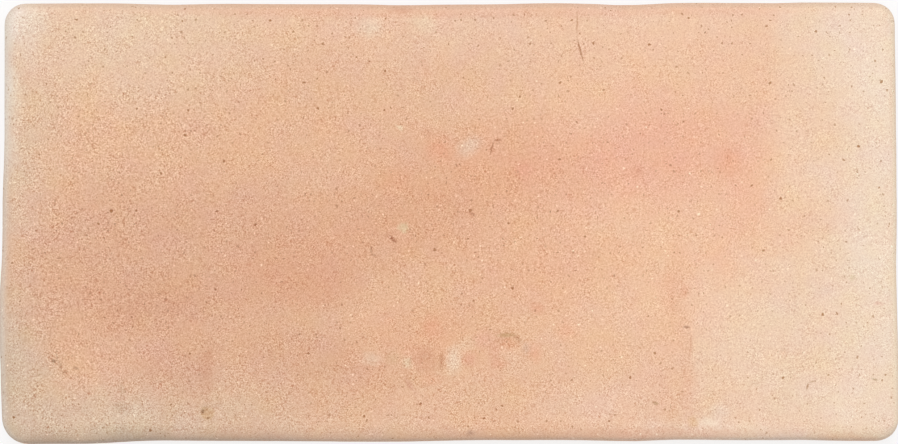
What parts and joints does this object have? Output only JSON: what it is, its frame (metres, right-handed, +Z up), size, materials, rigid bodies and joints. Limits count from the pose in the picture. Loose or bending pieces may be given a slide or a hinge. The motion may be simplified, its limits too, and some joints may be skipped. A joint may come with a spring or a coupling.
{
  "type": "terracotta tile",
  "caption": "Rectangular unglazed terracotta tile with sponged, softly rounded edges and a sandy face, bedded in mortar to cover a floor or wall.",
  "frame": {"origin": "middle of the flat bedding face that the tile lies on", "axes": "+X along the length, +Y across the width towards the back side, +Z up through the thickness to the walking face"},
  "size_m": [0.295, 0.145, 0.0199],
  "materials": {
    "terracotta": "matte"
  },
  "bodies": {
    "root": {"tile": "terracotta"}
  },
  "joints": []
}
